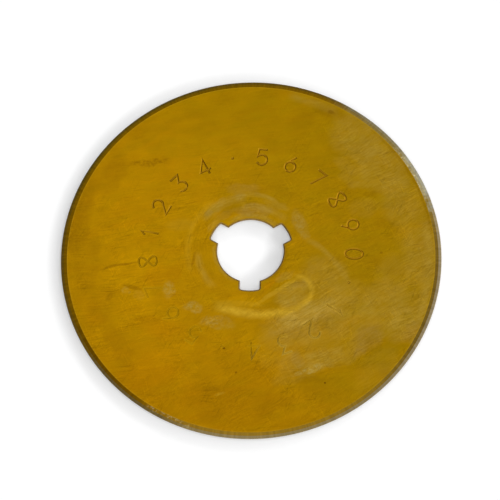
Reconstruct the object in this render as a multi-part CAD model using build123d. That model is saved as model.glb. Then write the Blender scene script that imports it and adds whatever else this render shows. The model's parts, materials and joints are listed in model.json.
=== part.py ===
"""A 60 mm rotary cutter blade: a thin steel disc with a ground edge and a keyed bore.

All sizes are in millimetres and all angles in degrees. The blade lies flat on its lower
face, with the origin on the bore's axis at that face and +Z up through the disc. One of
the drive notches points along -Y.
"""

import os
from math import radians, tan

from build123d import *

# The disc
BLADE_DIAMETER = 60.0
BLADE_THICKNESS = 0.3

# The edge, ground alike from both faces: a long bevel, then a steeper hone to the edge
BEVEL_ANGLE = 8.0
HONE_ANGLE = 10.0
HONE_WIDTH = 0.45

# The bore that seats on the cutter's hub, with notches for the hub's drive lugs
BORE_DIAMETER = 10.5
NOTCH_COUNT = 3
NOTCH_WIDTH = 3.1
NOTCH_DEPTH = 1.4
NOTCH_CORNER_RADIUS = 0.3
NOTCH_MOUTH_RADIUS = 0.1

# How far a point may lie from a circle and still count as on it
ON_CIRCLE = 0.001


def disc():
    """The disc with its ground edge, turned about the axis; the bore is cut later."""
    edge_radius = BLADE_DIAMETER / 2
    middle = BLADE_THICKNESS / 2
    hone_rise = HONE_WIDTH * tan(radians(HONE_ANGLE))
    bevel_width = (middle - hone_rise) / tan(radians(BEVEL_ANGLE))
    hone_radius = edge_radius - HONE_WIDTH
    face_radius = hone_radius - bevel_width
    section = Plane.XZ * make_face(
        Polyline(
            (0, 0),
            (face_radius, 0),
            (hone_radius, middle - hone_rise),
            (edge_radius, middle),
            (hone_radius, middle + hone_rise),
            (face_radius, BLADE_THICKNESS),
            (0, BLADE_THICKNESS),
            close=True,
        )
    )
    return revolve(section, Axis.Z)


def notch():
    """One drive notch along -Y: parallel sides and an end that is an arc about the axis."""
    end_radius = BORE_DIAMETER / 2 + NOTCH_DEPTH
    slot = Rectangle(NOTCH_WIDTH, end_radius, align=(Align.CENTER, Align.MAX))
    slot &= Circle(end_radius)
    outer_corners = slot.vertices().sort_by(Axis.Y)[:2]
    return fillet(outer_corners, NOTCH_CORNER_RADIUS)


def keyed_bore():
    """The outline of the bore and its notches, eased where the notches open into it."""
    bore_radius = BORE_DIAMETER / 2
    # The circle's own start point is turned to -Y, where the first notch takes it in
    outline = Rot(Z=-90) * Circle(bore_radius)
    for index in range(NOTCH_COUNT):
        outline += Rot(Z=index * 360 / NOTCH_COUNT) * notch()
    mouths = [
        corner
        for corner in outline.vertices()
        if abs(Vector(corner.X, corner.Y).length - bore_radius) < ON_CIRCLE
    ]
    return fillet(mouths, NOTCH_MOUTH_RADIUS)


def blade():
    """The whole blade, with the keyed bore cut right through it."""
    cutter = extrude(keyed_bore(), BLADE_THICKNESS)
    solid = disc() - cutter
    solid.label = "blade"
    return solid


os.makedirs("parts", exist_ok=True)
export_step(blade(), "parts/blade.step")
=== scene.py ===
"""The rotary cutter blade's looks: coated and ground steel, its wear, and engraved numbers."""

import json
from itertools import chain
from math import atan2, cos, degrees, hypot, pi, radians, sin, sqrt, tan

import bmesh
import bpy
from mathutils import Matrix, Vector
from mathutils.geometry import convex_hull_2d, delaunay_2d_cdt


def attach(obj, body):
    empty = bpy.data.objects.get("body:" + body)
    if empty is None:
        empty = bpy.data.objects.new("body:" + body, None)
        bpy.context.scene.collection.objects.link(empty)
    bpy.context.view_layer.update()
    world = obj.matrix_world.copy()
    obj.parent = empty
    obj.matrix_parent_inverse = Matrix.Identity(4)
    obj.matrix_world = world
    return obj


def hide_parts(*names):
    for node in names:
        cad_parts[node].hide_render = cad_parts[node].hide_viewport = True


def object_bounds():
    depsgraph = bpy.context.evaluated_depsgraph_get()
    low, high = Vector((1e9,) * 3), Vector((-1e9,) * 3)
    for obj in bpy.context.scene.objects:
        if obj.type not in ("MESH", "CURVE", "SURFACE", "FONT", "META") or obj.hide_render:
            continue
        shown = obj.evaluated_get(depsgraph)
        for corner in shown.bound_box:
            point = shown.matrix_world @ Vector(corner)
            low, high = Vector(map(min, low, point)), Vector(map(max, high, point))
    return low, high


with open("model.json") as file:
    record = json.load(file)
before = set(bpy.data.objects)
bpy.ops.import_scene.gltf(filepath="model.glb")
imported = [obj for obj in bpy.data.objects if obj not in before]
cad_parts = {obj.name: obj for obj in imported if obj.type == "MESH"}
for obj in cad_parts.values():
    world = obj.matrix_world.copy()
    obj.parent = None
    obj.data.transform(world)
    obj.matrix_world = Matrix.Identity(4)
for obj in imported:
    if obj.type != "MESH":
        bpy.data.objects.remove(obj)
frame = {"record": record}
cad_low, cad_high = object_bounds()
bore = next(mount for mount in frame["record"]["mounts"] if mount["name"] == "hub_bore")

# Sizes in this script are in millimetres, and MM turns them into Blender's metres
MM = 0.001
EDGE_RADIUS = cad_high.x / MM
THICKNESS = (cad_high.z - cad_low.z) / MM
BORE_RADIUS = bore["dims"]["r_mm"]

# The ground edge and the drive notches, as in the part's source
BEVEL_ANGLE = 8.0
HONE_ANGLE = 10.0
HONE_WIDTH = 0.45
NOTCH_COUNT = 3
NOTCH_WIDTH = 3.1
NOTCH_DEPTH = 1.4
NOTCH_CORNER_RADIUS = 0.3
NOTCH_MOUTH_RADIUS = 0.1

HONE_RISE = HONE_WIDTH * tan(radians(HONE_ANGLE))
HONE_RADIUS = EDGE_RADIUS - HONE_WIDTH
FACE_RADIUS = HONE_RADIUS - (THICKNESS / 2 - HONE_RISE) / tan(radians(BEVEL_ANGLE))

# The rolled corner that blanking leaves round the bore, and a notch mouth's least radius in it
ROLL_WIDTH = 0.24
ROLL_DEPTH = 0.13
LEAST_MOUTH_RADIUS = 0.01

# How finely the round forms are divided, and how far apart the points over a face are
RIM_SEGMENTS = 720
BORE_ARC_SEGMENTS = 48
SMALL_ARC_SEGMENTS = 8
ROLL_SEGMENTS = 4
DOT_SEGMENTS = 12
CURVE_SEGMENTS = 14
SIX_SEGMENTS = 22
ZERO_SEGMENTS = 24
EIGHT_SEGMENTS = 32
GRID_STEP = 1.0

# Points closer than these become one, in a face's plan and in the whole mesh
PLAN_TOLERANCE = 1e-5
WELD_DISTANCE = 2e-4

# Edges that bend by more degrees than these are sharp, on the ground edge and elsewhere
RIM_CREASE_ANGLE = 1.5
CREASE_ANGLE = 20.0

# The engraved index: digits and dots evenly round a ring, tops outward, read clockwise
INDEX = "1234.567890.1234.5678"
INDEX_RADIUS = 16.3
INDEX_START = 170.0
DIGIT_HEIGHT = 2.8
DIGIT_WIDTH = 1.9
STROKE_WIDTH = 0.38
STROKE_WALL = 0.15
DOT_RADIUS = 0.24

# A stroke's ends meet when they are closer than this share of its width. The least cosine keeps a
# stroke that doubles back from dividing by zero.
MEETING_SHARE = 0.1
LEAST_COSINE = 0.01

# The strokes are deepest at the top right of the blade and worn shallow at its bottom left
WEAR_ACROSS = 0.2
DEEPEST = 0.06
SHALLOWEST = 0.025
WEAR_START = 6.0
WEAR_END = -8.0


# Mesh

def spread(first, last, count):
    """Evenly spaced values from first to last, both included, over count steps."""
    return [first + (last - first) * i / count for i in range(count + 1)]


def arc(centre, radius, start, end, count):
    """Points on an arc about a centre, between two angles in degrees."""
    return [
        (centre[0] + radius * cos(radians(a)), centre[1] + radius * sin(radians(a)))
        for a in spread(start, end, count)
    ]


def turned(points, angle):
    """The points turned about the origin by an angle in degrees."""
    c, s = cos(radians(angle)), sin(radians(angle))
    return [(x * c - y * s, x * s + y * c) for x, y in points]


def bearing(point):
    """The direction of a point from the origin, in degrees."""
    return degrees(atan2(point[1], point[0]))


def keyed_outline(grow):
    """The outline of the notched bore, grown into the metal by a distance, anticlockwise."""
    side = NOTCH_WIDTH / 2 + grow
    bore_radius = BORE_RADIUS + grow
    end_radius = bore_radius + NOTCH_DEPTH
    corner = NOTCH_CORNER_RADIUS + grow
    mouth = max(NOTCH_MOUTH_RADIUS - grow, LEAST_MOUTH_RADIUS)
    corner_centre = (side - corner, -sqrt((end_radius - corner) ** 2 - (side - corner) ** 2))
    mouth_centre = (side + mouth, -sqrt((bore_radius + mouth) ** 2 - (side + mouth) ** 2))
    to_axis = 180 + bearing(mouth_centre)
    right = arc((0, 0), end_radius, -90, bearing(corner_centre), SMALL_ARC_SEGMENTS)[1:]
    right += arc(corner_centre, corner, bearing(corner_centre), 0, SMALL_ARC_SEGMENTS)[1:]
    right += arc(mouth_centre, mouth, 180, to_axis, SMALL_ARC_SEGMENTS)
    left = [(-x, y) for x, y in reversed(right)]
    notch = left + [(0, -end_radius)] + right
    leave = bearing(right[-1])
    meet = bearing(left[0]) + 360 / NOTCH_COUNT
    wall = arc((0, 0), bore_radius, leave, meet, BORE_ARC_SEGMENTS)[1:-1]
    return [
        point
        for index in range(NOTCH_COUNT)
        for point in turned(notch + wall, index * 360 / NOTCH_COUNT)
    ]


def circle(radius):
    """The points of a whole circle about the axis, as finely divided as the rim."""
    return arc((0, 0), radius, 0, 360, RIM_SEGMENTS)[:-1]


def curve(x, y, half_width, half_height, start, end, count=CURVE_SEGMENTS):
    """Points along part of an ellipse, between two angles in degrees."""
    return [
        (x + half_width * cos(radians(a)), y + half_height * sin(radians(a)))
        for a in spread(start, end, count)
    ]


def figure_eight(half_width, half_height):
    """A closed stroke that crosses itself in the middle."""
    angles = spread(0, 2 * pi, EIGHT_SEGMENTS)
    return [(half_width * sin(2 * a), half_height * cos(a)) for a in angles]


def half_turn(strokes):
    """The strokes turned upside down."""
    return [[(-x, -y) for x, y in stroke] for stroke in strokes]


# Each digit's strokes in a box one unit wide and one high about its centre
SIX = [curve(0, -0.19, 0.44, 0.31, 150, 510, SIX_SEGMENTS), [(-0.35, -0.02), (0.18, 0.5)]]
STROKES = {
    "0": [curve(0, 0, 0.44, 0.5, 90, 450, ZERO_SEGMENTS)],
    "1": [[(-0.24, 0.26), (0.06, 0.5), (0.06, -0.5)]],
    "2": [curve(0, 0.2, 0.43, 0.3, 165, -40) + [(-0.45, -0.5), (0.45, -0.5)]],
    "3": [[(-0.4, 0.5), (0.4, 0.5), (0, 0.1)] + curve(-0.02, -0.2, 0.45, 0.3, 70, -150)],
    "4": [[(0.18, -0.5), (0.18, 0.5), (-0.5, -0.22), (0.48, -0.22)]],
    "5": [[(0.38, 0.5), (-0.34, 0.5), (-0.4, 0.02)] + curve(-0.03, -0.17, 0.45, 0.33, 135, -150)],
    "6": SIX,
    "7": [[(-0.44, 0.5), (0.44, 0.5), (-0.12, -0.5)]],
    "8": [figure_eight(0.42, 0.5)],
    "9": half_turn(SIX),
}


def ribbon(points, width, trim=0.0):
    """A stroke's pieces along points, each convex. Free ends are trimmed, and others joined."""
    gap = hypot(points[0][0] - points[-1][0], points[0][1] - points[-1][1])
    closed = gap < MEETING_SHARE * width
    points = [Vector(p) for p in points]
    if closed:
        points[-1] = points[0]
    steps = [(b - a).normalized() for a, b in zip(points, points[1:])]
    if not closed:
        points[0] += steps[0] * trim
        points[-1] -= steps[-1] * trim
    before = [steps[-1] if closed else steps[0]] + steps
    after = steps + [steps[0] if closed else steps[-1]]
    edges = []
    for point, a, b in zip(points, before, after):
        along = (a + b).normalized()
        reach = min(width / 2 / max(along.dot(a), LEAST_COSINE), width)
        across = Vector((-along.y, along.x)) * reach
        edges.append((point + across, point - across))
    pieces = [(*start, *end) for start, end in zip(edges, edges[1:])]
    return [[piece[i] for i in convex_hull_2d(piece)] for piece in pieces]


def index_cuts(inset):
    """The strokes and dots of the engraved index, as convex polygons, narrowed by an inset."""
    cuts = []
    for place, sign in enumerate(INDEX):
        angle = INDEX_START - place * 360 / len(INDEX)
        if sign == ".":
            centre = turned([(INDEX_RADIUS, 0)], angle)[0]
            cuts.append(arc(centre, DOT_RADIUS - inset, 0, 360, DOT_SEGMENTS)[:-1])
            continue
        for stroke in STROKES[sign]:
            # With x outward and y anticlockwise here, a digit's right is clockwise
            laid = [(INDEX_RADIUS + y * DIGIT_HEIGHT, -x * DIGIT_WIDTH) for x, y in stroke]
            cuts += ribbon(turned(laid, angle), STROKE_WIDTH - 2 * inset, inset)
    return cuts


def grid_points():
    """Points in rings over the face, so that its triangles are of like size."""
    first = int((BORE_RADIUS + NOTCH_DEPTH) / GRID_STEP + 1)
    last = int(FACE_RADIUS / GRID_STEP)
    rings = (
        arc((0, 0), index * GRID_STEP, 0, 360, int(2 * pi * index))[:-1]
        for index in range(first, last)
    )
    return list(chain.from_iterable(rings))


# How delaunay_2d_cdt is told to leave out the triangles that lie in no polygon
INSIDE_ONLY = 1


def add_face(bm, height, cuts, floors, upward):
    """A flat face between the bore and the bevel. Returns its triangles in the cuts and floors."""
    polygons = [circle(FACE_RADIUS), keyed_outline(ROLL_WIDTH), *cuts, *floors]
    bore_polygon, first_floor = 1, 2 + len(cuts)
    points, faces = [], []
    for polygon in polygons:
        faces.append(list(range(len(points), len(points) + len(polygon))))
        points += [Vector(p) for p in polygon]
    points += [Vector(p) for p in grid_points()]
    result = delaunay_2d_cdt(points, [], faces, INSIDE_ONLY, PLAN_TOLERANCE)
    plane, _, triangles, _, _, sources = result
    made = [bm.verts.new((p.x, p.y, height)) for p in plane]
    in_cuts, in_floors = [], []
    for triangle, source in zip(triangles, sources):
        if bore_polygon in source:
            continue
        corners = [made[i] for i in triangle]
        if not upward:
            corners.reverse()
        face = bm.faces.new(corners)
        if max(source) >= first_floor:
            in_floors.append(face)
        elif len(source) > 1:
            in_cuts.append(face)
    return in_cuts, in_floors


def add_bands(bm, rings, heights, slots):
    """Strips of quads between closed rings of points, each ring at its own height."""
    lines = [[bm.verts.new((x, y, z)) for x, y in ring] for ring, z in zip(rings, heights)]
    for lower, upper, slot in zip(lines, lines[1:], slots):
        for i in range(len(lower)):
            j = (i + 1) % len(lower)
            bm.faces.new((lower[i], lower[j], upper[j], upper[i])).material_index = slot


# The mesh's material slots, in the order of the list of materials
FACE, BEVEL, HONE, GROOVE_FLOOR, GROOVE_WALL, BORE_WALL, REVERSE = range(7)


def groove_depth(x, y):
    """How deep the strokes still are at a place on the face."""
    worn = min(max((WEAR_START - y - WEAR_ACROSS * x) / (WEAR_START - WEAR_END), 0), 1)
    return DEEPEST + (SHALLOWEST - DEEPEST) * worn


def bore_rings():
    """The rings of the bore's wall, top to bottom, with a rolled corner at both ends."""
    angles = spread(0, pi / 2, ROLL_SEGMENTS)
    top = [(ROLL_WIDTH * (1 - sin(a)), THICKNESS - ROLL_DEPTH * (1 - cos(a))) for a in angles]
    bottom = [(grow, THICKNESS - height) for grow, height in reversed(top)]
    grows, heights = zip(*(top + bottom))
    return [keyed_outline(grow) for grow in grows], heights


def build_blade():
    """The blade's mesh: two flat faces, the engraving, the ground edge and the keyed bore."""
    bm = bmesh.new()
    walls, floors = add_face(bm, THICKNESS, index_cuts(0), index_cuts(STROKE_WALL), True)
    for face in bm.faces:
        face.material_index = FACE
    for face in walls:
        face.material_index = GROOVE_WALL
    for face in floors:
        face.material_index = GROOVE_FLOOR
    for vert in {vert for face in floors for vert in face.verts}:
        vert.co.z = THICKNESS - groove_depth(vert.co.x, vert.co.y)
    upper_count = len(bm.faces)
    add_face(bm, 0, [], [], False)
    bm.faces.ensure_lookup_table()
    for face in bm.faces[upper_count:]:
        face.material_index = REVERSE
    middle = THICKNESS / 2
    radii = (FACE_RADIUS, HONE_RADIUS, EDGE_RADIUS, HONE_RADIUS, FACE_RADIUS)
    heights = (0, middle - HONE_RISE, middle, middle + HONE_RISE, THICKNESS)
    add_bands(bm, [circle(r) for r in radii], heights, (BEVEL, HONE, HONE, BEVEL))
    rings, levels = bore_rings()
    add_bands(bm, rings, levels, [BORE_WALL] * (len(rings) - 1))
    bmesh.ops.remove_doubles(bm, verts=bm.verts, dist=WELD_DISTANCE)
    bmesh.ops.recalc_face_normals(bm, faces=bm.faces)
    return bm


def mark_creases(bm):
    """Every face is smooth, and the edges between differently inclined forms are sharp."""
    for face in bm.faces:
        face.smooth = True
    for edge in bm.edges:
        slots = {face.material_index for face in edge.link_faces}
        bend = edge.calc_face_angle(0) if len(edge.link_faces) == 2 else 0
        rim = slots <= {BEVEL, HONE} and bend > radians(RIM_CREASE_ANGLE)
        edge.smooth = not (len(slots) > 1 or bend > radians(CREASE_ANGLE) or rim)


def make_blade(materials):
    """The blade as an object in metres, with its materials in the order of the slots."""
    bm = build_blade()
    mark_creases(bm)
    bmesh.ops.scale(bm, vec=(MM, MM, MM), verts=bm.verts)
    mesh = bpy.data.meshes.new("blade_dressed")
    bm.to_mesh(mesh)
    bm.free()
    for material in materials:
        mesh.materials.append(material)
    piece = bpy.data.objects.new("blade_dressed", mesh)
    bpy.context.scene.collection.objects.link(piece)
    return piece


# Materials

def srgb(red, green, blue):
    """A colour as seen in a picture, 0 to 255, as the linear values that a shader takes."""
    def linear(value):
        value /= 255
        return value / 12.92 if value <= 0.04045 else ((value + 0.055) / 1.055) ** 2.4
    return (linear(red), linear(green), linear(blue), 1.0)


# A Mix node's inputs for the amount and the two values, and its output, by kind of data
MIX_INPUTS = {"FLOAT": (0, 2, 3), "RGBA": (0, 6, 7)}
MIX_OUTPUT = {"FLOAT": 0, "RGBA": 2}


class Graph:
    """A node tree, with a short call for each kind of node that is used."""

    def __init__(self, tree):
        self.tree = tree

    def node(self, kind):
        """A new shader node of a kind."""
        return self.tree.nodes.new("ShaderNode" + kind)

    def feed(self, socket, value):
        """Give a socket a number, or link it to another node's output."""
        if isinstance(value, bpy.types.NodeSocket):
            self.tree.links.new(value, socket)
        else:
            socket.default_value = value

    def math(self, operation, *values):
        """The result of an operation on numbers."""
        node = self.node("Math")
        node.operation = operation
        for socket, value in zip(node.inputs, values):
            self.feed(socket, value)
        return node.outputs[0]

    def times(self, *values):
        """The product of all the values."""
        product = values[0]
        for value in values[1:]:
            product = self.math("MULTIPLY", product, value)
        return product

    def vector(self, operation, *values, scale=None):
        """The result of an operation on vectors: a number for a length or a dot product."""
        node = self.node("VectorMath")
        node.operation = operation
        for socket, value in zip(node.inputs, values):
            self.feed(socket, value)
        if scale is not None:
            self.feed(node.inputs["Scale"], scale)
        return node.outputs["Value" if operation in ("LENGTH", "DOT_PRODUCT") else "Vector"]

    def axis(self, vector, name):
        """One of a vector's three parts, as a number."""
        node = self.node("SeparateXYZ")
        self.feed(node.inputs[0], vector)
        return node.outputs[name]

    def laid(self, vector, at=(0, 0), turn=0.0, size=(1, 1)):
        """The vector seen from a mark's own centre, direction and size."""
        node = self.node("Mapping")
        node.vector_type = "TEXTURE"
        self.feed(node.inputs["Vector"], vector)
        node.inputs["Location"].default_value = (*at, 0)
        node.inputs["Rotation"].default_value = (0, 0, radians(turn))
        node.inputs["Scale"].default_value = (*size, 1)
        return node.outputs["Vector"]

    def noise(self, vector, scale=1.0, detail=2.0, roughness=0.5, colour=False):
        """Cloudy noise, as a number or as a colour. The scale is how many clouds go into a unit."""
        node = self.node("TexNoise")
        self.feed(node.inputs["Vector"], vector)
        node.inputs["Scale"].default_value = scale
        node.inputs["Detail"].default_value = detail
        node.inputs["Roughness"].default_value = roughness
        return node.outputs["Color" if colour else "Fac"]

    def fade(self, value, start, end, low=0.0, high=1.0):
        """A smooth change from low to high as the value goes from start to end."""
        node = self.node("MapRange")
        node.interpolation_type = "SMOOTHSTEP"
        node.inputs["From Min"].default_value = start
        node.inputs["From Max"].default_value = end
        node.inputs["To Min"].default_value = low
        node.inputs["To Max"].default_value = high
        self.feed(node.inputs["Value"], value)
        return node.outputs["Result"]

    def mix_node(self, kind, *values):
        """A Mix node for a kind of data, fed with the amount and the two values."""
        node = self.node("Mix")
        node.data_type = kind
        for index, value in zip(MIX_INPUTS[kind], values):
            self.feed(node.inputs[index], value)
        return node

    def between(self, amount, first, second):
        """A number between two others."""
        return self.mix_node("FLOAT", amount, first, second).outputs[MIX_OUTPUT["FLOAT"]]

    def mix(self, amount, first, second, blend="MIX"):
        """A colour between two others, or another blend of the two."""
        node = self.mix_node("RGBA", amount, first, second)
        node.blend_type = blend
        return node.outputs[MIX_OUTPUT["RGBA"]]

    def box(self, vector, x, y, half_width, half_height, edge):
        """A soft-edged rectangle, 1 inside and 0 outside."""
        local = self.vector("ABSOLUTE", self.laid(vector, (x, y)))
        across = self.fade(self.axis(local, "X"), half_width + edge, half_width - edge)
        along = self.fade(self.axis(local, "Y"), half_height + edge, half_height - edge)
        return self.times(across, along)


# Where the worn ring round the bore lies
RING_RADIUS = 8.5

# Noise as a colour lies about this
NOISE_MIDDLE = (0.5, 0.5, 0.5)

# A blot fades out between these squares of its half size, and a sweep from this share of its reach
BLOT_OUTSIDE = 1.3
BLOT_INSIDE = 0.15
SWEEP_INSIDE = 0.6


class Shading(Graph):
    """The graph of one material, which works in the blade's millimetres."""

    def __init__(self, name):
        self.material = bpy.data.materials.new(name)
        self.material.use_nodes = True
        super().__init__(self.material.node_tree)
        self.shader = self.tree.nodes["Principled BSDF"]
        place = self.node("TexCoord").outputs["Object"]
        self.place = self.vector("SCALE", place, scale=1 / MM)
        self.flat = self.vector("MULTIPLY", self.place, (1, 1, 0))

    def bump(self, height, distance):
        """Relief by a height of about 0 to 1, which stands for a distance in millimetres."""
        node = self.node("Bump")
        node.inputs["Distance"].default_value = distance * MM
        node.inputs["Strength"].default_value = 1.0
        self.feed(node.inputs["Height"], height)
        self.feed(self.shader.inputs["Normal"], node.outputs["Normal"])

    def finish(self, colour, roughness):
        """The finished metal with its colour and roughness."""
        self.feed(self.shader.inputs["Base Color"], colour)
        self.feed(self.shader.inputs["Roughness"], roughness)
        self.shader.inputs["Metallic"].default_value = 1.0
        return self.material

    def drifted(self, amount, scale):
        """The place on the blade, pushed about so that a mark's outline is uneven."""
        drift = self.noise(self.flat, scale, detail=3, colour=True)
        drift = self.vector("SUBTRACT", drift, NOISE_MIDDLE)
        return self.vector("ADD", self.flat, self.vector("SCALE", drift, scale=amount))

    def flow(self):
        """The place on the blade, pushed about so that the grinding lines wander."""
        return self.drifted(amount=2.5, scale=0.12)

    def lines(self, vector, turn, length, width, detail=3, roughness=0.6):
        """Noise drawn out into lines of a direction, length and width."""
        drawn_out = self.laid(vector, turn=turn, size=(length, width))
        return self.noise(drawn_out, 1, detail, roughness)

    def round_lines(self, vector, length, width):
        """Noise drawn out into arcs about the axis, near the bore."""
        node = self.node("CombineXYZ")
        self.feed(node.inputs["Z"], self.times(self.vector("LENGTH", vector), 1 / width))
        around = self.vector("SCALE", self.vector("NORMALIZE", vector), scale=RING_RADIUS / length)
        drawn_out = self.vector("ADD", around, node.outputs[0])
        return self.noise(drawn_out, 1, detail=3, roughness=0.6)

    def seen_from(self, vector, x, y, turn):
        """How far a place is along and across a mark's own direction, from the mark's centre."""
        c, s = cos(radians(turn)), sin(radians(turn))
        along = self.vector("DOT_PRODUCT", vector, (c, s, 0))
        across = self.vector("DOT_PRODUCT", vector, (-s, c, 0))
        along = self.math("SUBTRACT", along, x * c + y * s)
        across = self.math("SUBTRACT", across, y * c - x * s)
        return along, across

    def blot(self, vector, x, y, length, width, turn):
        """A soft elliptical patch, 1 inside and 0 outside."""
        along, across = self.seen_from(vector, x, y, turn)
        along = self.times(along, 1 / length)
        across = self.times(across, 1 / width)
        square = self.math("MULTIPLY_ADD", across, across, self.times(along, along))
        return self.fade(square, BLOT_OUTSIDE, BLOT_INSIDE)

    def sweep(self, vector, x, y, radius, width, facing, reach):
        """A soft arc-shaped band about a point, facing a direction. Its half angle is the reach."""
        along, across = self.seen_from(vector, x, y, facing)
        square = self.math("MULTIPLY_ADD", across, across, self.times(along, along))
        away = self.math("SQRT", square)
        off = self.math("ABSOLUTE", self.math("SUBTRACT", away, radius))
        band = self.fade(off, width, 0.0)
        outside = cos(radians(reach))
        inside = cos(radians(reach * SWEEP_INSIDE))
        return self.times(band, self.fade(self.math("DIVIDE", along, away), outside, inside))


# The coating's own gold at four sides of the blade, and the tints of its marks
GOLD_LEFT = srgb(173, 126, 3)
GOLD_RIGHT = srgb(154, 117, 5)
GOLD_TOP = srgb(156, 118, 2)
GOLD_LOW = srgb(162, 114, 2)
# The haze tint is partly a painted sheen
HAZE_AND_SHEEN = srgb(168, 138, 50)
PALE = srgb(196, 168, 78)
LILAC = srgb(151, 120, 50)
MILK = srgb(180, 165, 90)
AMBER = srgb(192, 142, 3)
STRAW = srgb(196, 157, 40)
ORANGE = srgb(178, 118, 2)
BROWN = srgb(104, 66, 4)
OLIVE = srgb(138, 108, 5)

# Marks on the face by tint, each with its x, y, half length, half width, turn and strength.
# First come broad stains in the coating, then the haze that lies on it, its paleness partly a
# painted sheen.
STAINS = (
    (OLIVE, (
        (6.4, -28.0, 3.0, 1.0, 12, 0.1),
        (18.0, 18.0, 12.0, 9.0, -50, 0.16),
        (20.5, -17.0, 4.0, 2.2, 40, 0.4),
        (-16.5, 20.5, 6.5, 1.3, 32, 0.16),
        (-19.0, 18.0, 4.5, 0.7, 30, 0.2),
        (15.4, 17.2, 2.6, 0.8, 20, 0.5),
        (14.5, -21.0, 6.0, 3.4, 25, 0.15),
        (6.0, -25.5, 5.0, 2.0, 8, 0.15),
        (-6.2, 6.8, 1.8, 0.8, 40, 0.45),
        (1.5, 9.4, 6.5, 3.0, 0, 0.2),
        (-2.7, 7.7, 2.8, 1.4, 20, 0.34),
        (7.4, -21.2, 4.5, 2.8, 20, 0.2),
        (24.2, 12.6, 2.2, 1.4, -60, 0.2),
        (22.8, -6.1, 1.5, 0.8, -15, 0.26),
        (-14.6, 18.0, 3.2, 1.4, 20, 0.22),
        (20.2, 18.2, 2.2, 1.2, -45, 0.22),
        (14.2, 22.2, 2.0, 1.2, -45, 0.2),
    )),
    (ORANGE, (
        (-13.0, -13.0, 4.6, 2.0, -15, 0.3),
        (-14.6, -4.0, 2.6, 2.2, 80, 0.3),
        (-12.0, -4.2, 1.8, 1.4, 80, 0.3),
        (-24.8, -10.0, 3.4, 1.6, 115, 0.14),
        (-14.5, -19.5, 5.5, 3.2, 25, 0.3),
        (0.0, -7.4, 5.0, 0.8, 0, 0.12),
        (3.6, -5.3, 2.4, 0.6, 42, 0.4),
        (-10.2, -17.0, 4.0, 2.0, 10, 0.16),
        (-8.0, -24.4, 3.4, 1.8, 15, 0.16),
        (15.6, -11.9, 2.4, 1.3, 30, 0.16),
    )),
    (BROWN, (
        (-4.6, -24.6, 5.0, 3.2, 18, 0.13),
        (-27.6, 7.0, 8.0, 2.6, 82, 0.22),
        (-20.3, -15.2, 5.6, 1.8, 122, 0.14),
        (-25.6, -2.0, 5.4, 2.2, 92, 0.2),
        (-5.4, -22.7, 1.4, 0.5, 10, 0.2),
        (2.8, -24.2, 4.5, 2.6, 5, 0.08),
        (-22.8, 12.7, 4.2, 2.2, 64, 0.17),
        (-23.0, -9.0, 3.2, 2.6, 90, 0.15),
        (-12.0, -4.2, 1.7, 1.2, 80, 0.08),
        (-28.0, 0.2, 2.6, 1.0, 88, 0.14),
        (-14.4, -6.4, 1.5, 1.1, 90, 0.1),
        (-14.2, -11.8, 1.8, 1.0, 20, 0.1),
        (-6.0, -4.2, 1.4, 0.8, -55, 0.1),
        (18.0, -1.0, 6.0, 3.0, 80, 0.05),
        (12.8, 24.4, 3.2, 1.1, -16, 0.18),
        (8.2, 23.0, 2.4, 1.6, 40, 0.1),
        (9.2, -20.9, 2.8, 0.7, 12, 0.18),
        (19.0, 9.9, 1.7, 0.55, 0, 0.24),
        (22.0, 17.4, 1.9, 0.28, 5, 0.26),
    )),
)
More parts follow.
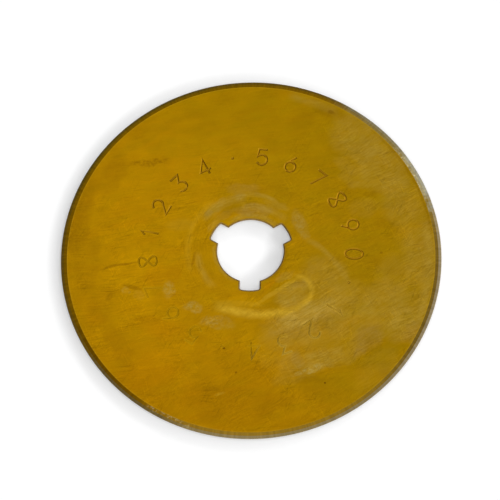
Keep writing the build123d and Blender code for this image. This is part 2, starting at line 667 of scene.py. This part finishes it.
HAZE_AND_SHEEN_MARKS = (
    (HAZE_AND_SHEEN, (
        (17.2, 20.0, 5.2, 4.6, -50, 0.34),
        (20.8, 14.6, 5.6, 4.0, -55, 0.34),
        (16.6, 13.0, 2.8, 1.6, 10, 0.17),
        (24.0, 8.6, 5.0, 3.8, -75, 0.28),
        (18.0, 7.6, 2.8, 1.8, 10, 0.14),
        (26.6, -0.6, 5.4, 3.0, 90, 0.34),
        (25.2, -9.2, 4.6, 3.8, 70, 0.2),
        (22.4, -4.2, 4.2, 3.0, 75, 0.17),
        (20.8, -9.2, 4.6, 3.6, 75, 0.3),
        (19.6, -19.2, 4.8, 2.6, 48, 0.12),
        (15.6, -9.8, 5.0, 4.4, 60, 0.3),
        (23.6, -11.8, 3.4, 2.5, 60, 0.36),
        (6.5, -7.1, 3.2, 1.8, 38, 0.5),
        (5.6, -4.2, 1.8, 0.8, 32, 0.3),
        (6.8, -8.2, 2.4, 1.0, 25, 0.34),
        (4.0, 8.0, 2.2, 0.8, -20, 0.22),
        (-5.6, 7.5, 2.0, 0.9, 50, 0.34),
        (11.8, -4.4, 4.2, 3.6, -50, 0.3),
        (6.4, -13.6, 5.2, 2.6, 12, 0.28),
        (4.4, -17.2, 3.6, 2.3, 20, 0.12),
        (7.0, -20.2, 3.8, 1.6, 15, 0.15),
        (6.4, -11.6, 4.8, 1.8, 15, 0.2),
        (15.4, -16.6, 3.4, 1.8, 30, 0.2),
        (15.0, 14.8, 2.2, 1.2, -40, 0.2),
        (17.2, 11.4, 2.0, 0.7, 0, 0.22),
        (11.4, -14.6, 4.4, 2.2, 25, 0.2),
        (10.9, -17.6, 4.0, 1.7, 18, 0.46),
    )),
    (LILAC, (
        (18.4, -13.9, 2.8, 2.1, 38, 0.4),
        (17.0, -16.3, 1.6, 0.9, 65, 0.35),
        (7.6, -17.6, 1.8, 0.9, 90, 0.3),
        (0.5, 6.9, 3.4, 1.0, 0, 0.5),
        (8.8, -11.0, 7.5, 3.0, 22, 0.3),
        (-1.4, 10.6, 3.0, 1.0, 0, 0.26),
        (-2.2, 9.3, 1.3, 0.6, 10, 0.3),
        (-6.8, 6.2, 0.8, 0.6, 30, 0.32),
        (7.8, -5.4, 1.1, 0.9, 0, 0.3),
        (7.7, 4.8, 2.3, 1.2, -70, 0.24),
        (-4.2, 6.2, 1.6, 0.8, 30, 0.22),
        (25.6, -13.0, 2.5, 1.6, 60, 0.3),
    )),
    (PALE, (
        (9.2, -10.2, 5.0, 1.9, 24, 0.28),
        (-6.0, 4.4, 1.4, 0.8, 50, 0.12),
        (6.2, -18.0, 2.0, 1.6, 20, 0.12),
    )),
)

# Pale and brown marks that are speckled
SPECKS = (
    (MILK, (
        (-12.7, -6.7, 1.5, 1.0, 80, 0.19),
        (-8.6, -9.5, 1.6, 1.1, -10, 0.2),
        (-9.3, -9.5, 0.8, 0.5, 20, 0.12),
        (-6.0, -11.8, 1.8, 0.9, 8, 0.11),
        (-4.8, -12.0, 2.8, 1.2, -6, 0.09),
        (-17.2, -7.6, 1.3, 0.9, -50, 0.05),
        (-19.5, -7.0, 0.9, 0.7, 0, 0.1),
        (7.5, 5.2, 1.6, 1.0, -74, 0.11),
        (8.2, 3.2, 1.7, 0.9, -68, 0.12),
        (9.2, -19.3, 2.9, 0.5, 18, 0.26),
    )),
    (BROWN, (
        (-16.6, 15.1, 3.8, 0.7, 6, 0.34),
        (-26.2, 2.6, 1.6, 0.8, 80, 0.12),
        (21.0, 5.0, 2.4, 1.2, 0, 0.14),
    )),
)

# Marks in arcs about a point, each with x, y, radius, half width, facing, half angle and strength
# Haze in arcs, its paleness partly a painted sheen
HAZE_AND_SHEEN_ARCS = (
    (0, 0, 9.2, 1.2, 120, 28, 0.4),
    (0, 0, 9.5, 0.6, 86, 22, 0.4),
    (0, 0, 7.6, 0.9, 74, 34, 0.35),
    (0, 0, 5.9, 0.7, 82, 48, 0.4),
    (0, 0, 5.7, 0.4, 205, 45, 0.3),
    (0, 0, 8.3, 0.9, 206, 26, 0.3),
    (0, 0, 28.2, 1.4, -6, 22, 0.42),
    (0, 0, 28.0, 1.2, 69, 10, 0.28),
    (0.5, -12.1, 16.4, 0.75, 42, 19, 0.38),
)
BROWN_ARCS = (
    (0, 0, 28.4, 2.4, 165, 45, 0.12),
    (0, 0, 28.8, 0.5, 26, 24, 0.26),
    # The last arc is a painted shade along the right of the bore's edge
    (0, 0, 5.55, 0.35, -18, 55, 0.3),
)

# The dried drop's bright outline, and two bright arcs round the bore
STRAW_ARCS = (
    (1.8, 9.5, 20.0, 1.2, -94, 19, 0.76),
    (4.0, -3.2, 7.1, 0.85, -62, 28, 0.6),
    (7.1, -6.6, 2.55, 0.65, 25, 75, 0.54),
    (0, 0, 9.9, 0.9, 182, 22, 0.14),
    (0, 0, 10.2, 0.7, 145, 22, 0.22),
)

# Straight yellow marks with clean edges and amber ones with ragged edges, in rows as for the stains
STRAW_STREAKS = (
    (4.5, -6.55, 4.6, 0.4, 34.5, 0.4),
    (-1.6, -8.8, 4.2, 0.5, -4, 0.2),
    (-11.3, 4.3, 2.4, 1.2, 5, 0.15),
    (24.2, 2.2, 2.4, 1.8, 80, 0.1),
    (-4.1, -23.2, 1.0, 0.25, 20, 0.25),
)
AMBER_STREAKS = (
    (-19.0, -2.6, 5.0, 2.8, 10, 0.27),
    (18.0, -20.2, 3.0, 1.8, 45, 0.16),
    (18.2, -11.7, 2.2, 1.1, 20, 0.14),
    (-22.4, -15.8, 2.8, 1.0, 122, 0.14),
    (6.0, -22.6, 2.6, 1.0, 10, 0.15),
    (-0.6, -8.3, 4.0, 0.9, -3, 0.26),
    (-19.4, 2.2, 4.2, 1.8, 4, 0.16),
    (-18.0, -9.2, 3.4, 2.0, 10, 0.16),
    (-8.2, 6.2, 3.4, 0.9, 66, 0.24),
    (-11.2, -17.2, 3.8, 1.9, 20, 0.25),
    (6.0, -26.2, 3.6, 1.2, 12, 0.15),
    (1.8, -15.2, 4.2, 2.6, -30, 0.2),
    (4.2, -18.0, 2.2, 1.6, 20, 0.16),
    (-12.2, 2.0, 1.8, 1.2, 0, 0.22),
)

# Thin brown marks with clean edges
BROWN_LINES = (
    (12.9, 24.4, 0.7, 0.32, -20, 0.42),
    (-20.6, -2.7, 3.6, 0.26, 13, 0.42),
    (-18.4, -6.3, 1.7, 0.4, -16, 0.34),
    (-21.9, -8.0, 0.8, 0.5, 70, 0.25),
    (-8.9, -1.6, 1.4, 0.28, 80, 0.35),
    (20.6, -0.2, 0.3, 0.22, 0, 0.5),
    (11.8, -21.25, 0.2, 0.2, 0, 0.9),
    (15.4, -5.2, 0.24, 0.2, 0, 0.9),
    (-3.75, -16.0, 0.2, 0.2, 0, 0.9),
    (-1.8, -19.8, 0.18, 0.18, 0, 0.7),
)

# Light and dark scratches on the face, each with its turn, length and width
LIGHT_SCRATCHES = ((33, 4, 0.22), (-62, 3, 0.2))
DARK_SCRATCHES = ((9, 4, 0.22), (62, 3, 0.22))

# How much of each kind of texture goes into the face
GROUND_WEIGHT = 0.07
GRAIN_WEIGHT = 0.06
LIGHT_SCRATCH_WEIGHT = 0.1
DARK_SCRATCH_WEIGHT = -0.12
BANDS_WEIGHT = 0.035

# The face's grinding lines and relief, its small changes of hue, and the painted highlight along
# its outer corner
LINE_WIDTH = 0.24
FACE_RELIEF = 0.02
HUES_STRENGTH = 0.1
CORNER_HIGHLIGHT_STRENGTH = 0.2


def base_coat(shade):
    """The coating's gold: warm at the left, redder at the bottom, olive at the top and right."""
    drifted = shade.drifted(amount=14, scale=0.06)
    across, along = shade.axis(drifted, "X"), shade.axis(drifted, "Y")
    colour = shade.mix(shade.fade(across, start=-22, end=22), GOLD_LEFT, GOLD_RIGHT)
    up = shade.vector("DOT_PRODUCT", drifted, (0.4, 1, 0))
    colour = shade.mix(shade.fade(up, start=4, end=28, high=0.85), colour, GOLD_TOP)
    low = shade.fade(along, start=-6, end=-24)
    low = shade.times(low, shade.fade(across, start=16, end=2, low=0.2, high=0.8))
    colour = shade.mix(low, colour, GOLD_LOW)
    stretched = shade.laid(shade.flat, turn=14, size=(5, 1.8))
    hues = shade.noise(stretched, scale=1, detail=4, roughness=0.65, colour=True)
    return shade.mix(HUES_STRENGTH, colour, hues, "SOFT_LIGHT")


def brushed(shade, width):
    """Fine grinding lines: near level at the left, rising at the right, and arcs round the bore."""
    flow = shade.flow()
    turn = shade.fade(shade.vector("DOT_PRODUCT", flow, (1, -0.6, 0)), start=-14, end=12)
    level = shade.lines(flow, turn=8, length=3.0, width=width)
    rising = shade.lines(flow, turn=32, length=2.4, width=width)
    straight = shade.between(turn, level, rising)
    ring = shade.fade(shade.vector("LENGTH", shade.flat), start=11.5, end=9.5)
    lower = shade.fade(shade.vector("DOT_PRODUCT", shade.flat, (1, -1, 0)), start=2, end=-2)
    near_bore = shade.times(ring, lower)
    return shade.between(near_bore, straight, shade.round_lines(flow, length=2.0, width=width))


def scratches(shade, vector, turn, length, width):
    """Sparse fine lines, 1 on a line and 0 off it."""
    lines = shade.lines(vector, turn, length, width, detail=2, roughness=0.5)
    return shade.fade(lines, start=0.6, end=0.7)


def face_texture(shade, lines):
    """How much lighter each point is than the coating, by stains, grinding lines and scratches."""
    flow = shade.flow()
    ground = shade.fade(lines, start=0.28, end=0.72, low=-1)
    grain = shade.noise(shade.flat, scale=2.2, detail=3, roughness=0.8)
    grain = shade.fade(grain, start=0.28, end=0.72, low=-1)
    bands = shade.lines(flow, turn=12, length=6.0, width=1.3)
    bands = shade.fade(bands, start=0.3, end=0.7, low=-1)
    light, dark = [
        shade.math("ADD", *[scratches(shade, flow, *form) for form in forms])
        for forms in (LIGHT_SCRATCHES, DARK_SCRATCHES)
    ]
    patches = shade.noise(shade.flat, scale=0.22, detail=2)
    patches = shade.fade(patches, start=0.35, end=0.65, low=0.5, high=1.5)
    up = shade.vector("DOT_PRODUCT", shade.flat, (-0.3, 1, 0))
    calm_top = shade.fade(up, start=8, end=22, low=1.0, high=0.4)
    total = shade.times(ground, GROUND_WEIGHT)
    total = shade.math("MULTIPLY_ADD", grain, GRAIN_WEIGHT, total)
    total = shade.math("MULTIPLY_ADD", light, LIGHT_SCRATCH_WEIGHT, total)
    total = shade.math("MULTIPLY_ADD", dark, DARK_SCRATCH_WEIGHT, total)
    total = shade.times(total, patches, calm_top)
    return shade.math("MULTIPLY_ADD", bands, BANDS_WEIGHT, total)


def face_material(name, worn):
    """The coated flat. Only the shown face is worn: its hidden twin has the plain coating."""
    shade = Shading(name)
    lines = brushed(shade, LINE_WIDTH)
    texture = face_texture(shade, lines)
    colour = base_coat(shade)
    if worn:
        colour = worn_coat(shade, colour, lines)
    colour = shade.mix(1.0, colour, shade.math("ADD", texture, 1.0), "MULTIPLY")
    clouds = shade.noise(shade.flat, scale=0.3, detail=4)
    roughness = shade.fade(clouds, start=0.3, end=0.7, low=0.33, high=0.39)
    shade.bump(texture, FACE_RELIEF)
    return shade.finish(colour, roughness)


def lay_marks(shade, colour, shape, tint, table, vector, breaks):
    """The colour with a table's marks laid on, as blots or sweeps, broken up by the breaks."""
    for *form, strength in table:
        mask = shade.times(shape(vector, *form), breaks, strength)
        colour = shade.mix(mask, colour, tint)
    return colour


def worn_coat(shade, colour, lines):
    """The coating's colour with the shown face's stains, haze partly of painted sheen, bright and
    dark marks, a painted shade at the bore's right edge and a painted highlight round the outer
    corner laid on.
    """
    ragged = shade.drifted(amount=1.9, scale=0.5)
    smooth = shade.drifted(amount=0.7, scale=0.4)
    even = shade.noise(shade.flat, scale=1.4, detail=4, roughness=0.7)
    even = shade.fade(even, start=0.3, end=0.7, low=0.7, high=1.15)
    streaky = shade.fade(lines, start=0.34, end=0.62, low=0.65, high=1.15)
    patchy = shade.noise(shade.flat, scale=0.6, detail=4, roughness=0.65)
    patchy = shade.fade(patchy, start=0.3, end=0.62, low=0.55, high=1.15)
    patchy = shade.times(streaky, patchy)
    for tint, table in STAINS:
        colour = lay_marks(shade, colour, shade.blot, tint, table, ragged, even)
    # Haze, its paleness partly a painted sheen
    for tint, table in HAZE_AND_SHEEN_MARKS:
        colour = lay_marks(shade, colour, shade.blot, tint, table, ragged, patchy)
    speckled = shade.noise(shade.flat, scale=1.8, detail=4, roughness=0.7)
    speckled = shade.fade(speckled, start=0.36, end=0.64, low=0.15, high=1.35)
    for tint, table in SPECKS:
        colour = lay_marks(shade, colour, shade.blot, tint, table, ragged, speckled)
    for shape, tint, table, vector, breaks in (
        (shade.sweep, HAZE_AND_SHEEN, HAZE_AND_SHEEN_ARCS, smooth, patchy),
        (shade.sweep, BROWN, BROWN_ARCS, smooth, even),
        (shade.sweep, STRAW, STRAW_ARCS, smooth, even),
        (shade.blot, STRAW, STRAW_STREAKS, smooth, even),
        (shade.blot, AMBER, AMBER_STREAKS, ragged, even),
        (shade.blot, BROWN, BROWN_LINES, smooth, even),
    ):
        colour = lay_marks(shade, colour, shape, tint, table, vector, breaks)
    # A painted highlight along the face's corner with the bevel
    corner = shade.math("SUBTRACT", shade.vector("LENGTH", shade.flat), FACE_RADIUS)
    corner = shade.fade(corner, start=-0.22, end=-0.04)
    return shade.mix(shade.times(corner, even, CORNER_HIGHLIGHT_STRENGTH), colour, STRAW)


def worn_and_lit_side(shade, facing, start, end, ragged=0.5):
    """Where the ground edge is worn, and its painted light and shade: round a direction, unevenly.
    Start and end are half angles.
    """
    middle = (cos(radians(facing)), sin(radians(facing)), 0)
    towards = shade.vector("DOT_PRODUCT", shade.vector("NORMALIZE", shade.flat), middle)
    uneven = shade.noise(shade.flat, scale=0.6, detail=6, roughness=0.7)
    uneven = shade.math("MULTIPLY_ADD", uneven, ragged, -ragged / 2)
    towards = shade.math("ADD", towards, uneven)
    return shade.fade(towards, cos(radians(start)), cos(radians(end)))


# Painted glints on the ground edge, in specks: each with its facing, the half angles where the
# glints start and where they are full, and their strength
GLINT_SIDES = ((27, 12, 4, 0.8), (247, 9, 4, 0.5))
EDGE_GLINTS = srgb(206, 190, 140)

# Painted light and shade round the ground edge, by the way each side faces: each with its tint,
# facing, and the same two half angles
BEVEL_LIGHT_AND_SHADE = (
    (srgb(133, 105, 38), -14, 34, 16),
    (srgb(136, 116, 60), 36, 30, 12),
    (srgb(160, 147, 106), 25, 12, 2),
    (srgb(128, 94, 2), 125, 44, 16),
    (srgb(110, 76, 2), 221, 22, 8),
)
HONE_LIGHT_AND_SHADE = (
    (srgb(168, 150, 112), -16, 38, 18),
    (srgb(140, 128, 94), 40, 24, 12),
    (srgb(160, 155, 134), 25, 12, 2),
    (srgb(110, 89, 24), 135, 38, 14),
    (srgb(112, 94, 52), 232, 20, 8),
)


# The ground edge's radial lines, their relief, and its roughness
RIM_LINE_PITCH = 0.4
RIM_RELIEF = 0.03
RIM_ROUGHNESS = 0.3


def rim_lines(shade, pitch):
    """Fine radial grinding lines: noise that runs round the rim without a seam."""
    around = shade.vector("NORMALIZE", shade.flat)
    around = shade.vector("SCALE", around, scale=EDGE_RADIUS / pitch)
    return shade.noise(around, scale=1.0, detail=3, roughness=0.6)


def ground_material(name, coated, bare_and_lit, tones, glint_strength):
    """Ground steel with radial lines: coated, worn to steel with a painted sheen on one side, and
    with painted light and shade and glints.
    """
    shade = Shading(name)
    lines = rim_lines(shade, RIM_LINE_PITCH)
    # Toward the right and bottom the colour goes to steel: partly worn coating, partly a painted
    # sheen
    colour = shade.mix(worn_and_lit_side(shade, facing=-30, start=98, end=64), coated, bare_and_lit)
    # Painted light and shade by the way each side of the ground edge faces
    for tint, facing, start, end in tones:
        colour = shade.mix(worn_and_lit_side(shade, facing, start, end, ragged=0.12), colour, tint)
    specks = shade.noise(shade.flat, scale=2.0, detail=4, roughness=0.75)
    specks = shade.fade(specks, start=0.5, end=0.64)
    # Speckled painted glints at the upper right and lower left of the ground edge
    for facing, start, end, strength in GLINT_SIDES:
        side = worn_and_lit_side(shade, facing, start, end, ragged=0.03)
        colour = shade.mix(shade.times(side, specks, strength * glint_strength), colour, EDGE_GLINTS)
    tone = shade.fade(lines, start=0.3, end=0.7, low=0.86, high=1.14)
    colour = shade.mix(1.0, colour, tone, "MULTIPLY")
    shade.bump(lines, RIM_RELIEF)
    return shade.finish(colour, RIM_ROUGHNESS)


def groove_material(name, fresh, faded, hazy, roughness):
    """The engraved strokes: fresh at the top, patchily faded below, and hazy at the lower right."""
    shade = Shading(name)
    up = shade.vector("DOT_PRODUCT", shade.drifted(amount=9, scale=0.25), (WEAR_ACROSS, 1, 0))
    colour = shade.mix(shade.fade(up, start=4, end=-6), fresh, faded)
    corner = shade.vector("DOT_PRODUCT", shade.flat, (0.8, -1, 0))
    colour = shade.mix(shade.fade(corner, start=16, end=19.5, high=0.8), colour, hazy)
    return shade.finish(colour, roughness)


def bore_material(light, dark, roughness):
    """The sheared wall of the bore, mottled between a light and a dark tone."""
    shade = Shading("bore_wall")
    grain = shade.noise(shade.place, scale=6, detail=3)
    colour = shade.mix(shade.fade(grain, start=0.3, end=0.7), light, dark)
    return shade.finish(colour, roughness)


materials = [
    face_material("coated_face", worn=True),
    ground_material(
        "ground_bevel",
        coated=srgb(138, 100, 3),
        bare_and_lit=srgb(149, 117, 36),
        tones=BEVEL_LIGHT_AND_SHADE,
        glint_strength=1.0,
    ),
    ground_material(
        "honed_edge",
        coated=srgb(126, 98, 28),
        bare_and_lit=srgb(151, 133, 90),
        tones=HONE_LIGHT_AND_SHADE,
        glint_strength=0.5,
    ),
    groove_material(
        "groove_floor",
        fresh=srgb(149, 100, 5),
        faded=srgb(146, 106, 3),
        hazy=srgb(144, 113, 30),
        roughness=0.36,
    ),
    groove_material(
        "groove_wall",
        fresh=srgb(173, 130, 22),
        faded=srgb(170, 128, 8),
        hazy=srgb(166, 134, 44),
        roughness=0.26,
    ),
    bore_material(light=srgb(160, 128, 60), dark=srgb(120, 94, 38), roughness=0.35),
    face_material("coated_reverse", worn=False),
]
blade = make_blade(materials)
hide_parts("blade")
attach(blade, "root")


# Stage

WHITE = (1, 1, 1, 1)

# The floor is in metres, and its gap under the blade in millimetres. The lift is a faint glow.
FLOOR_SIZE = 4.0
FLOOR_GAP = 0.02
FLOOR_COLOUR = (0.9, 0.9, 0.9, 1)
FLOOR_LIFT = 0.1

# What the metal mirrors: directions are in degrees from straight up, towards +X and +Y.
# The lights are rectangles, each with its x, y, half width, half height and soft edge.
DIM_LEVEL = 0.34
SOFTBOX = (-4, 18, 18.5, 25, 6)
SOFTBOX_LEVEL = 1.25
STRIP = (50, 10, 20, 36, 6)
STRIP_LEVEL = 1.4
SPOT = (20, 34, 4.5, 4.5, 3.5)
SPOT_LEVEL = 2.8

# In front the surroundings are bright, and low down at the left they are dark
FRONT_START = -8
FRONT_END = -20
FRONT_LEVEL = 1.1
DARK_START = -38
DARK_END = -52
DARK_LEVEL = 0.15

# What lights everything that isn't mirrored
SKY_LEVEL = 0.6

# Low lamps along the right side give the floor's shadow. Their azimuths, from +X towards +Y, their
# elevation and the angle that each fills are in degrees.
LAMP_AZIMUTHS = range(-80, 81, 20)
LAMP_ELEVATION = 5.5
LAMP_SIZE = 3.0
LAMP_STRENGTH = 1.64

# The camera's place and lens are in millimetres and its turn in degrees, and the clip in metres
CAMERA_PLACE = (6.298, -66.687, 176.3)
CAMERA_TURN = (20.794, 1.626, 1.169)
CAMERA_LENS = 85.95
CAMERA_SENSOR = 36.0
CAMERA_CLIP_START = 0.01


def make_floor():
    """A plain white floor just under the blade, which keeps its shadow."""
    half = FLOOR_SIZE / 2
    level = cad_low.z - FLOOR_GAP * MM
    sides = ((-half, -half), (half, -half), (half, half), (-half, half))
    mesh = bpy.data.meshes.new("floor")
    mesh.from_pydata([(x, y, level) for x, y in sides], [], [range(len(sides))])
    floor = bpy.data.objects.new("floor", mesh)
    bpy.context.scene.collection.objects.link(floor)
    material = bpy.data.materials.new("floor")
    material.use_nodes = True
    graph = Graph(material.node_tree)
    shader = graph.tree.nodes["Principled BSDF"]
    shader.inputs["Base Color"].default_value = FLOOR_COLOUR
    shader.inputs["Roughness"].default_value = 1.0
    shader.inputs["Specular IOR Level"].default_value = 0.0
    shader.inputs["Emission Color"].default_value = WHITE
    path = graph.node("LightPath").outputs
    seen = graph.math("MAXIMUM", path["Is Camera Ray"], path["Is Glossy Ray"])
    seen = graph.math("MAXIMUM", seen, path["Is Transmission Ray"])
    graph.feed(shader.inputs["Emission Strength"], graph.times(seen, FLOOR_LIFT))
    mesh.materials.append(material)


def make_world():
    """White to the camera. The metal mirrors a softbox overhead, and two lights at the right."""
    world = bpy.data.worlds.new("studio")
    bpy.context.scene.world = world
    world.use_nodes = True
    graph = Graph(world.node_tree)
    way = graph.node("TexCoord").outputs["Generated"]
    tilt = graph.times(graph.math("ARCCOSINE", graph.axis(way, "Z")), degrees(1))
    flat = graph.vector("NORMALIZE", graph.vector("MULTIPLY", way, (1, 1, 0)))
    sky = graph.vector("SCALE", flat, scale=tilt)
    front = graph.axis(sky, "Y")
    level = graph.fade(front, FRONT_START, FRONT_END, DIM_LEVEL, FRONT_LEVEL)
    side = graph.axis(sky, "X")
    level = graph.times(level, graph.fade(side, DARK_START, DARK_END, 1.0, DARK_LEVEL))
    for operation, light, strength in (
        ("MAXIMUM", STRIP, STRIP_LEVEL),
        ("MAXIMUM", SOFTBOX, SOFTBOX_LEVEL),
        ("ADD", SPOT, SPOT_LEVEL),
    ):
        level = graph.math(operation, level, graph.times(graph.box(sky, *light), strength))
    path = graph.node("LightPath").outputs
    level = graph.between(path["Is Glossy Ray"], SKY_LEVEL, level)
    level = graph.between(path["Is Camera Ray"], level, 1.0)
    background = graph.tree.nodes["Background"]
    graph.feed(background.inputs["Color"], WHITE)
    graph.feed(background.inputs["Strength"], level)


def make_lamp(azimuth):
    """One low, soft, distant lamp, which lights the floor and doesn't glare on the metal."""
    data = bpy.data.lights.new("low_lamp", "SUN")
    data.angle = radians(LAMP_SIZE)
    data.energy = LAMP_STRENGTH
    lamp = bpy.data.objects.new("low_lamp", data)
    a, e = radians(azimuth), radians(LAMP_ELEVATION)
    towards = Vector((cos(a) * cos(e), sin(a) * cos(e), sin(e)))
    lamp.rotation_mode = "QUATERNION"
    lamp.rotation_quaternion = towards.to_track_quat("Z", "Y")
    lamp.visible_glossy = False
    bpy.context.scene.collection.objects.link(lamp)


def make_camera():
    """The photograph's view: from above and in front, from close by."""
    data = bpy.data.cameras.new("camera")
    data.sensor_width = CAMERA_SENSOR
    data.lens = CAMERA_LENS
    data.clip_start = CAMERA_CLIP_START
    camera = bpy.data.objects.new("camera", data)
    camera.location = Vector(CAMERA_PLACE) * MM
    camera.rotation_euler = [radians(angle) for angle in CAMERA_TURN]
    bpy.context.scene.collection.objects.link(camera)
    bpy.context.scene.camera = camera


make_floor()
make_world()
for azimuth in LAMP_AZIMUTHS:
    make_lamp(azimuth)
make_camera()
bpy.context.scene.view_settings.view_transform = "Standard"
